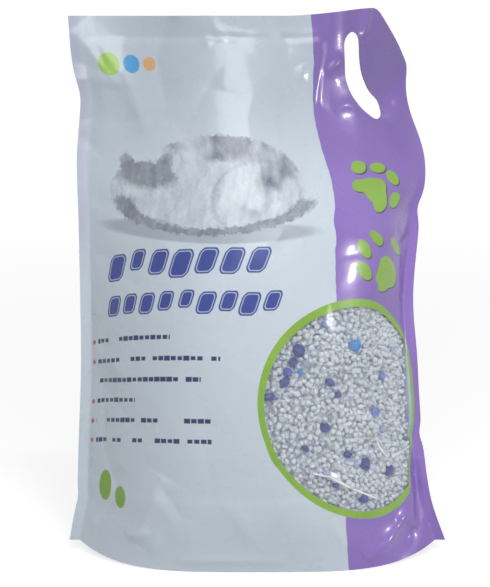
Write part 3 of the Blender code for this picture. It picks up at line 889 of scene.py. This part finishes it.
def ring_distance(graph, across, up):
    """The outer edge of the window's ring: an oval, cut off on its right like the window."""
    above = up - WINDOW_CENTRE_S / MM
    level = above / (RING_HALF_HEIGHT / MM)
    side = (across - RING_CENTRE_T / MM + above * WINDOW_LEAN) / (RING_HALF_WIDTH / MM)
    radius = graph.maths("SQRT", level * level + side * side)
    past_side = across - height_curve(graph, up, RING_SIDE)
    return graph.maths("SMOOTH_MAX", (radius - 1.0) * 75.0, past_side, 5.0)


def picture(graph, colour, place):
    """A cat curled up asleep, seen from behind, in soft greys and white."""
    drift = graph.vector_maths("SUBTRACT", [graph.noise(place, 3.4, 2.0, 0.6, 1), (0.5, 0.5, 0.5)])
    fluff = graph.node("VectorMath", {0: drift, 1: (7.0, 7.0, 0.0), 2: place}, operation="MULTIPLY_ADD")
    drawn_out = graph.node("Mapping", {"Vector": fluff, "Scale": (1.0, 0.30, 1.0)})
    streaks = graph.noise(drawn_out, 5.0, 4.0, 0.7)
    streaks = graph.maths("MULTIPLY_ADD", streaks, 3.0, -1.0, clamp=True)
    patches = graph.maths("MULTIPLY_ADD", graph.noise(place, 24.0, 2.0), 4.0, -1.6, clamp=True)
    dark_fur = graph.mix(streaks, FUR_DARK, FUR_MID)
    pale_fur = graph.mix(streaks, FUR_PALE, FUR_LIGHT)

    colour = graph.paint(colour, oval(graph, place, -46.0, 262.0, 82.0, 8.0), 9.0, FUR_MID, 0.6)
    body = merged(graph, fluff, ((-40.0, 297.0, 60.0, 33.0, 3), (-12.0, 291.0, 36.0, 28.0, 0)), 6.0)
    saddle = merged(graph, fluff, ((-34.0, 324.0, 50.0, 13.0, -4), (6.0, 306.0, 18.0, 17.0, 40)), 8.0)
    fur = graph.mix(graph.soft(saddle, 9.0) * patches, pale_fur, dark_fur)
    haunch = graph.maths("ABSOLUTE", oval(graph, fluff, -10.0, 287.0, 31.0, 25.0))
    fur = graph.paint(fur, haunch - 0.8, 3.0, FUR_MID, 0.55)
    colour = graph.paint(colour, body, 2.2, fur)

    left_ear = oval(graph, fluff, -108.0, 305.0, 6.0, 11.0, 22)
    right_ear = oval(graph, fluff, -79.0, 307.0, 6.0, 11.0, -24)
    ears = graph.maths("MINIMUM", left_ear, right_ear)
    head = graph.maths("SMOOTH_MIN", oval(graph, fluff, -93.0, 288.0, 29.0, 22.0), ears, 4.0)
    crown = graph.maths("MINIMUM", oval(graph, fluff, -92.0, 303.0, 27.0, 12.0), ears)
    head_fur = graph.paint(pale_fur, crown, 9.0, dark_fur, 0.8)
    head_fur = graph.paint(head_fur, graph.maths("ABSOLUTE", head) - 0.5, 2.5, FUR_MID, 0.5)
    colour = graph.paint(colour, head, 2.0, head_fur)

    ring = graph.maths("ABSOLUTE", oval(graph, fluff, -42.0, 283.0, 68.0, 21.0, 2)) - 5.5
    low = graph.node("SeparateXYZ", {"Vector": fluff}, 1) - 284.0
    tail = graph.maths("SMOOTH_MAX", ring, low, 6.0)
    tail_fur = graph.mix(patches * 0.35, dark_fur, pale_fur)
    return graph.paint(colour, tail, 2.6, tail_fur)


def drooped(graph, across, up):
    """The level of the printed rows, which droop towards the left."""
    back = graph.maths("MINIMUM", across + 20.0, 0.0)
    return up + back * back * 0.00129


def stone_rows(graph, colour, across, up):
    """Two rows of blue stones of different widths, each with a pale line inside its edge."""
    level = drooped(graph, across, up)
    for seed, middle, half, start, end, pitch in STONE_ROWS:
        step = (across - start) / pitch
        cell = graph.maths("FLOOR", step)
        chance = graph.node("TexWhiteNoise", {"W": cell + seed}, noise_dimensions="1D")
        side = graph.maths("ABSOLUTE", (step - cell - 0.5) * pitch + (level - middle) * -0.18)
        rise = graph.maths("ABSOLUTE", level - middle + (chance - 0.5) * (half * 0.5))
        wide = chance * (pitch * 0.12) + pitch * 0.32
        tall = half * 0.74 + chance * (half * 0.26)
        square = graph.maths("MAXIMUM", side - wide, rise - tall)
        slant = side * 0.78 + rise * 0.62 - (wide * 0.78 + tall * 0.62) * 0.82
        stone = graph.maths("SMOOTH_MAX", square, slant, 1.5)
        fill = graph.soft(stone, 0.5) * (across > start) * (across < end)
        line = graph.soft(graph.maths("ABSOLUTE", stone + 1.5) - 0.35, 0.4) * fill
        colour = graph.mix(fill, colour, BLUE)
        colour = graph.mix(line * 0.75, colour, WHITE_FILM)
    return colour


def dash_rows(graph, colour, across, up):
    """Six rows of short navy dashes of different lengths, with a red spot before most of them."""
    level = (drooped(graph, across, up) - DASH_FOOT) / DASH_ROW
    row = graph.maths("FLOOR", level)
    rise = graph.maths("ABSOLUTE", (level - row - 0.5) * DASH_ROW)
    slots, half = len(DASH_ENDS) + 2.0, FLAT_WIDTH / MM / 2
    stops = [(max(0.0, (i - 0.25) / slots), end / half + 1.0) for i, end in enumerate(DASH_ENDS)]
    limit = graph.node("ValToRGB", {"Fac": row / slots}, stops=stops, jump=True) * half - half
    step = (across + row * 7.3) / DASH_PITCH
    cell = graph.maths("FLOOR", step)
    chance = graph.node("TexWhiteNoise", {"W": cell * 1.7 + row * 13.1}, noise_dimensions="1D")
    side = graph.maths("ABSOLUTE", (step - cell - 0.5) * DASH_PITCH)
    bar = graph.maths("MAXIMUM", side - (1.7 + chance * 0.75), rise - (1.35 + chance * 0.55))
    rows = (level > 0.0) * (level < float(len(DASH_ENDS)))
    span = (across > DASH_START) * (across < limit)
    colour = graph.paint(colour, bar, 0.5, NAVY, (chance > 0.16) * rows * span)
    spot_side = across + 138.0
    spot = graph.maths("SQRT", spot_side * spot_side + rise * rise) - 1.9
    spotted = graph.maths("ABSOLUTE", row - DASH_ROW_WITHOUT_SPOT) > 0.5
    return graph.paint(colour, spot, 0.5, RED, rows * spotted)


def small_motifs(graph, colour, place):
    """Three coloured spots in a row at the top left, and two green drops at the lower left."""
    for across, size, tone in SPOTS:
        colour = graph.paint(colour, oval(graph, place, across, SPOT_LEVEL, size, size), 0.5, tone)
    for drop in DROPS:
        colour = graph.paint(colour, oval(graph, place, *drop, -8), 0.5, GREEN_DEEP)
    return colour


def back_film():
    """The plain back: white film with the same strip."""
    graph = Graph("back_film")
    place, across, up = film_place(graph)
    return graph.finish(film_surface(graph, base_film_colour(graph, place, across, up), place))


def web_film(name):
    """Plain white film: the bottom one, and the inside of the walls."""
    graph = Graph(name)
    place = film_place(graph)[0]
    colour = graph.mix(graph.noise(place, 60.0, 2.0), rgb(192, 204, 216), WHITE_FILM)
    return graph.finish(film_surface(graph, colour, place))


def clear_film():
    """Unprinted film: clear, with a slight milky haze, painted white highlights along its sharp creases, and
    a gloss that grows at the edges.
    """
    graph = Graph("clear_film")
    place = film_place(graph)[0]
    haze = graph.noise(place, 30.0, 3.0, 0.55)
    # Painted highlights: near-white lines along the window's sharp creases, mixed into the haze
    painted_highlight = graph.soft(merged(graph, place, WINDOW_PAINTED_HIGHLIGHTS, 1.0), 3.0)
    tone = graph.mix(painted_highlight, rgb(208, 219, 230), rgb(252, 253, 255))
    haze_and_highlight = graph.node("BsdfPrincipled", {"Base Color": tone, "Roughness": 0.35})
    open_film = graph.node("BsdfTransparent", {"Color": (0.97, 0.98, 0.99, 1.0)})
    share = graph.maths("MAXIMUM", 0.01 + haze * 0.09, painted_highlight * 0.85)
    body = graph.node("MixShader", {0: share, 1: open_film, 2: haze_and_highlight})
    gloss = graph.node("BsdfGlossy", {"Color": WHITE, "Roughness": 0.16})
    facing = graph.node("LayerWeight", {"Blend": 0.5}, 1)
    square = facing * facing
    shine = 0.022 + square * square * 0.45
    return graph.finish(graph.node("MixShader", {0: shine, 1: body, 2: gloss}))


def crystal_finish():
    """Silica grains: glassy broken faces in the colour of each grain."""
    graph = Graph("silica_crystals")
    grain = graph.node("Attribute", attribute_name="grain")
    cloud = graph.noise(graph.node("TexCoord", output="Object"), 0.0016, 2.0)
    inputs = {
        "Base Color": graph.mix(cloud * 0.06, grain, rgb(236, 240, 246)),
        "Roughness": 0.22 + cloud * 0.25,
        "Specular IOR Level": 0.4,
        "Subsurface Weight": 0.85,
        "Subsurface Radius": (1.0, 1.0, 1.0),
        "Subsurface Scale": 0.004,
    }
    return graph.finish(graph.node("BsdfPrincipled", inputs))


def base_rise(q):
    """Height of the base along its middle: flat, then up to the web's full depth at the sides."""
    share = np.clip((np.abs(q) - BASE_FLAT_SHARE) / (1.0 - BASE_FLAT_SHARE), 0.0, 1.0)
    return GUSSET_DEPTH * share * share


def seal_height(t):
    """Height at which the bottom web leaves a wall, because what crosses is lost to its two margins."""
    q = row_share(t, np.zeros_like(t))
    _, y = row_place(q, np.zeros_like(t), WALL_BACK, 0.0)
    return np.clip(GUSSET_DEPTH - np.abs(y), SKIRT_CLEARANCE, None)


def shelf(share):
    """0 over the middle of the base, and 1 at a wall."""
    past = np.clip((np.abs(share) - BASE_SHELF_SHARE) / (1.0 - BASE_SHELF_SHARE), 0.0, 1.0)
    return past * past


def grid_faces(rows, columns):
    """Triangles of a grid of points stored row by row."""
    i, j = np.meshgrid(np.arange(rows - 1), np.arange(columns - 1), indexing="ij")
    corner = (i * columns + j).ravel()
    return np.concatenate([
        np.stack([corner, corner + 1, corner + columns + 1], 1),
        np.stack([corner, corner + columns + 1, corner + columns], 1),
    ])


def make_walls():
    """The two walls, cut alike from the flat film."""
    flat, faces, clear = flat_film()
    film_map = np.stack([flat[:, 0] / FLAT_WIDTH + 0.5, flat[:, 1] / FLAT_HEIGHT], axis=1)
    film_map = np.concatenate([film_map, film_map])
    lining = web_film("film_inside")
    walls = (
        ("printed_front", WALL_FRONT, (front_film(), clear_film(), lining), "front_wall", "printed_film"),
        ("plain_back", WALL_BACK, (back_film(), lining), "back_wall", "back_film"),
    )
    for name, wall, materials, node, slot in walls:
        turned = faces if wall == WALL_FRONT else faces[:, ::-1]
        points, shell, rim = thickened(film_point(flat[:, 0], flat[:, 1], wall), turned)
        opening = clear.astype(int) * (wall == WALL_FRONT)
        inner_field = len(materials) - 1 - opening
        fields = np.concatenate([opening, inner_field, np.zeros(rim, dtype=int)])
        made = make_piece(name, points, shell, materials, fields, film_map)
        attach(made, "root")
        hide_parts(node)


def make_web():
    """The bottom film: a margin up each wall, and the folded base between them."""
    t = np.linspace(-FLAT_WIDTH / 2, FLAT_WIDTH / 2, 151)
    q = row_share(t, np.zeros_like(t))
    crown = bulge(q, t, np.zeros_like(t))
    inset = LAYER_GAP + FILM + GUSSET_SLACK * smooth_step(0.0, GUSSET_SLACK_FADE, crown)
    height = seal_height(t)
    margin = np.linspace(0.0, 1.0, 16)
    rows = [film_point(t, height * share, WALL_FRONT, inset) for share in margin]
    rows_back = [film_point(t, height * share, WALL_BACK, inset) for share in margin[::-1]]
    front, back = rows[-1], rows_back[0]
    middle = base_rise(q)
    for share in np.linspace(-1.0, 1.0, 31)[1:-1]:
        point = front + (back - front) * (share + 1.0) / 2.0
        point[:, 2] = middle + (front[:, 2] - middle) * shelf(share)
        rows.append(point)
    rows += rows_back
    points = np.concatenate(rows)
    across = np.tile(t / FLAT_WIDTH + 0.5, len(rows))
    up = np.repeat(np.linspace(0.0, 0.3, len(rows)), len(t))
    film_map = np.tile(np.stack([across, up], axis=1), (2, 1))
    points, shell, _ = thickened(points, grid_faces(len(rows), len(t)))
    made = make_piece("bottom_film", points, shell, (web_film("base_film"),), film_map=film_map)
    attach(made, "root")
    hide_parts("bottom_web")


def block_skin(cells):
    """Points and triangles of the skin of a block from -1 to 1, as six grids merged along their edges."""
    points, faces, first = [], [], 0
    for axis in range(3):
        a, b = [k for k in range(3) if k != axis]
        u, v = np.linspace(-1.0, 1.0, cells[a] + 1), np.linspace(-1.0, 1.0, cells[b] + 1)
        for end in (-1.0, 1.0):
            side = np.full(((cells[a] + 1) * (cells[b] + 1), 3), end)
            side[:, a] = np.repeat(u, cells[b] + 1)
            side[:, b] = np.tile(v, cells[a] + 1)
            block = grid_faces(cells[a] + 1, cells[b] + 1) + first
            outwards = (end > 0) == (axis != 1)
            faces.append(block[:, ::-1] if outwards else block)
            points.append(side)
            first += len(side)
    points, faces = np.concatenate(points), np.concatenate(faces)
    _, keep, same = np.unique(np.round(points, 6), axis=0, return_index=True, return_inverse=True)
    return points[keep], same.ravel()[faces]


def web_margin(height):
    """The room that the bottom web's margins take between the litter and a wall."""
    return (FILM + LAYER_GAP + GUSSET_SLACK) * web_room(height)


def litter_body(crystals):
    """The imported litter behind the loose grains: the pouch's inside, less a little, with a heap on top."""
    block, faces = block_skin(LITTER_CELLS)
    t = block[:, 0] * LITTER_HALF_WIDTH
    depth, up = block[:, 1], (block[:, 2] + 1.0) / 2.0
    q = row_share(t, np.zeros_like(t))
    middle = base_rise(q)
    floor = middle + (seal_height(t) + edge_height(q) - middle) * shelf(depth) + LITTER_FLOOR_GAP
    height = floor + (LITTER_TOP + LITTER_HEAP * (1.0 - q * q) - LITTER_LEAN * q - floor) * up
    row = np.maximum(height, seal_height(t))
    random = np.random.default_rng(21)
    lumps = LITTER_LUMPS * random.uniform(-1.0, 1.0, len(block))
    behind = window_cover(t, row) * (depth < -0.999)
    inset = LITTER_GAP + LITTER_EASE + web_margin(row) + GRAIN_BED * behind + lumps
    q = row_share(t, row)
    front = np.stack(row_place(q, row, WALL_FRONT, -inset), 1)
    back = np.stack(row_place(q, row, WALL_BACK, -inset), 1)
    plan = front + (back - front) * ((depth + 1.0) / 2.0)[:, None]
    points = np.concatenate([plan, (height + lumps * up)[:, None]], axis=1)
    tint = np.tile(np.array(rgb(214, 221, 229)[:3]), (len(points), 1))
    made = make_piece("packed_litter", points, faces, (crystals,), tint=tint, smooth=False)
    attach(made, "root")
    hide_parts("litter")


def window_cover(t, s):
    """1 behind the window and its ring, and 0 a little beyond them."""
    side = (t - RING_CENTRE_T + WINDOW_LEAN * (s - WINDOW_CENTRE_S)) / RING_HALF_WIDTH
    level = (s - WINDOW_CENTRE_S) / RING_HALF_HEIGHT
    return smooth_step(1.10, 1.02, np.hypot(side, level))


def wall_room(t, s):
    """The room between the two walls at a place of the front wall."""
    height = pouch_height(s)
    q = row_share(t, height)
    front = np.stack(row_place(q, height, WALL_FRONT, 0.0), 1)
    back = np.stack(row_place(q, height, WALL_BACK, 0.0), 1)
    return np.linalg.norm(front - back, axis=1)


def grain_ball():
    """The twelve corners and twenty faces of an icosahedron."""
    long = (1.0 + math.sqrt(5.0)) / 2.0
    corners = np.array([
        (-1, long, 0), (1, long, 0), (-1, -long, 0), (1, -long, 0),
        (0, -1, long), (0, 1, long), (0, -1, -long), (0, 1, -long),
        (long, 0, -1), (long, 0, 1), (-long, 0, -1), (-long, 0, 1),
    ]) / math.hypot(1.0, long)
    faces = np.array([
        (0, 11, 5), (0, 5, 1), (0, 1, 7), (0, 7, 10), (0, 10, 11),
        (1, 5, 9), (5, 11, 4), (11, 10, 2), (10, 7, 6), (7, 1, 8),
        (3, 9, 4), (3, 4, 2), (3, 2, 6), (3, 6, 8), (3, 8, 9),
        (4, 9, 5), (2, 4, 11), (6, 2, 10), (8, 6, 7), (9, 8, 1),
    ])
    return corners, faces


def turns(random, count):
    """Even random turns, as matrices from unit quaternions."""
    quaternion = random.normal(size=(4, count))
    w, x, y, z = quaternion / np.linalg.norm(quaternion, axis=0)
    return np.stack([
        np.stack([1 - 2 * (y * y + z * z), 2 * (x * y - z * w), 2 * (x * z + y * w)], 1),
        np.stack([2 * (x * y + z * w), 1 - 2 * (x * x + z * z), 2 * (y * z - x * w)], 1),
        np.stack([2 * (x * z - y * w), 2 * (y * z + x * w), 1 - 2 * (x * x + y * y)], 1),
    ], 1)


# Layers of loose grains, in millimetres: pitch, depth behind the film, and least and largest radius
GRAIN_LAYERS = ((4.7, 0.6, 1.7, 3.5), (4.8, 3.2, 2.0, 3.5), (5.0, 5.6, 2.2, 3.6))
GRAIN_SCATTER = 0.26
GRAIN_REACH = 0.1415
GRAIN_ROOM_SHARE = 0.28


def window_grains(crystals):
    """Loose grains behind the window, in three layers of a jittered lattice; each is a knocked-about ball."""
    random = np.random.default_rng(7)
    marked_t, marked_s, marked_size, _ = np.array(COLOURED_GRAINS).T * MM
    marked_radius = np.minimum(1.25 * marked_size, GRAIN_ROOM_SHARE * wall_room(marked_t, marked_s))
    inset = 0.6 * MM + marked_radius * 0.9 + web_margin(marked_s)
    places, radii = [film_point(marked_t, marked_s, WALL_FRONT, inset)], [marked_radius]
    for layer, (pitch, depth, low, high) in enumerate(GRAIN_LAYERS):
        across = np.arange(-2.0, 152.0, pitch) + layer * 1.3
        up = np.arange(30.0, 220.0, pitch * 0.87)
        t, s = np.meshgrid(across, up)
        t = t + (np.arange(len(up)) % 2)[:, None] * pitch / 2
        t, s = t.ravel(), s.ravel()
        t = (t + random.normal(0.0, GRAIN_SCATTER * pitch, t.shape)) * MM
        s = (s + random.normal(0.0, GRAIN_SCATTER * pitch, s.shape)) * MM
        keep = (window_cover(t, s) > 0.3) & (t < GRAIN_REACH)
        if layer == 0:
            apart = np.hypot(t[:, None] - marked_t, s[:, None] - marked_s) - marked_radius
            keep &= apart.min(axis=1) > 0.9 * MM
        t, s = t[keep], s[keep]
        margin = web_margin(s)
        room = wall_room(t, s) - 2.0 * margin
        radius = np.minimum(random.uniform(low, high, len(t)) * MM, GRAIN_ROOM_SHARE * room)
        inset = depth * MM + radius + random.uniform(0.0, 0.6, len(t)) * MM
        fits = (inset + 1.3 * radius < room - 1.0 * MM) & (radius > 0.8 * MM)
        places.append(film_point(t, s, WALL_FRONT, inset + margin)[fits])
        radii.append(radius[fits])
    places, radii = np.concatenate(places), np.concatenate(radii)
    count = len(places)
    corners, faces = grain_ball()
    knocks = random.uniform(0.72, 1.12, (count, len(corners), 1))
    shape = corners[None] * knocks * random.uniform(0.72, 1.15, (count, 1, 3))
    shape = np.einsum("nij,nkj->nki", turns(random, count), shape) * radii[:, None, None]
    points = (places[:, None] + shape).reshape(-1, 3)
    all_faces = (faces[None] + len(corners) * np.arange(count)[:, None, None]).reshape(-1, 3)
    tint = np.repeat(grain_colours(random, count), len(corners), axis=0)
    made = make_piece("window_crystals", points, all_faces, (crystals,), tint=tint, smooth=False)
    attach(made, "root")
    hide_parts("litter")


def grain_colours(random, count):
    """White and greyish grains, a few pale blue ones, and the marked ones in their own tones."""
    white, grey = np.array(rgb(250, 252, 255)[:3]), np.array(rgb(226, 233, 243)[:3])
    tint = grey + (white - grey) * random.uniform(0.0, 1.0, (count, 1))
    pale = random.uniform(0.0, 1.0, count) < 0.018
    tint[pale] = rgb(172, 188, 222)[:3]
    for i, (_, _, _, tone) in enumerate(COLOURED_GRAINS):
        tint[i] = GRAIN_TONES[tone][:3]
    return tint


def make_stage():
    """A pale floor that sweeps up behind the pouch in one bend."""
    turn = np.linspace(0.05, 1.5, 30)
    run = np.concatenate([
        np.linspace([-9.0, 0.0], [3.0, 0.0], 60),
        np.stack([3.0 + 1.5 * np.sin(turn), 1.5 - 1.5 * np.cos(turn)], 1),
        np.linspace([4.5, 1.6], [4.5, 5.0], 10),
    ])
    across = np.linspace(-9.0, 9.0, 61)
    points = np.stack([
        np.tile(across, len(run)),
        np.repeat(run[:, 0], len(across)),
        np.repeat(run[:, 1], len(across)),
    ], 1)
    graph = Graph("pale_floor")
    path = graph.node("LightPath", output="Is Camera Ray")
    bounced = graph.beside(path, "Is Glossy Ray") + graph.beside(path, "Is Transmission Ray")
    seen = graph.maths("ADD", path, bounced, clamp=True)
    distance = graph.vector_maths("LENGTH", [graph.node("TexCoord", output="Object")], "Value")
    inputs = {
        "Base Color": (0.48, 0.48, 0.48, 1.0),
        "Roughness": 0.9,
        "Specular IOR Level": 0.0,
        "Emission Color": WHITE,
        "Emission Strength": seen * (graph.rise(distance, 0.4, 2.4) * 0.16 + 0.75),
    }
    paint = graph.finish(graph.node("BsdfPrincipled", inputs))
    floor = make_piece("floor", points, grid_faces(len(run), len(across)), (paint,))


def make_light(name, place, aim, width, height, power):
    """A rectangular lamp that faces a point."""
    lamp = bpy.data.lights.new(name, "AREA")
    lamp.shape = "RECTANGLE"
    lamp.size, lamp.size_y, lamp.energy = width, height, power
    made = bpy.data.objects.new(name, lamp)
    made.location = place
    made.rotation_euler = (Vector(aim) - Vector(place)).to_track_quat("-Z", "Y").to_euler()
    bpy.context.scene.collection.objects.link(made)


def make_lights():
    """A broad lamp high in front, two small ones for the creases, and an even white room."""
    make_light("broad_lamp", (0.10, -1.25, 1.05), (0.0, 0.0, 0.20), 1.10, 1.10, 12.4)
    make_light("high_lamp", (0.10, -0.55, 1.35), (0.0, 0.0, 0.30), 0.14, 0.08, 2.4)
    make_light("side_lamp", (1.30, -0.75, 0.24), (0.0, 0.0, 0.15), 0.12, 0.12, 3.6)
    world = bpy.data.worlds.new("room")
    world.use_nodes = True
    tree = world.node_tree
    background = tree.nodes["Background"]
    path = tree.nodes.new("ShaderNodeLightPath")
    seen = path.outputs["Is Camera Ray"]
    for name in ("Is Glossy Ray", "Is Transmission Ray"):
        either = tree.nodes.new("ShaderNodeMath")
        either.operation = "MAXIMUM"
        tree.links.new(seen, either.inputs[0])
        tree.links.new(path.outputs[name], either.inputs[1])
        seen = either.outputs[0]
    strength = tree.nodes.new("ShaderNodeMapRange")
    strength.inputs["To Min"].default_value = 0.27
    strength.inputs["To Max"].default_value = 1.0
    tree.links.new(seen, strength.inputs["Value"])
    tree.links.new(strength.outputs[0], background.inputs["Strength"])
    background.inputs["Color"].default_value = WHITE
    bpy.context.scene.world = world


CAMERA_PLACE = (-0.009, -1.000, 0.400)
CAMERA_DOWN = math.radians(11.187)
CAMERA_LENS = 84.155


def make_camera():
    """The photograph's view: a metre in front of the pouch, a little above its middle, looking down."""
    camera = bpy.data.cameras.new("camera")
    camera.lens = CAMERA_LENS
    camera.sensor_width = 36.0
    made = bpy.data.objects.new("camera", camera)
    made.location = CAMERA_PLACE
    made.rotation_euler = (math.pi / 2 - CAMERA_DOWN, 0.0, 0.0)
    bpy.context.scene.collection.objects.link(made)
    bpy.context.scene.camera = made


make_camera()
make_lights()
make_stage()
make_walls()
make_web()
silica = crystal_finish()
litter_body(silica)
window_grains(silica)
bpy.context.scene.view_settings.view_transform = "Standard"
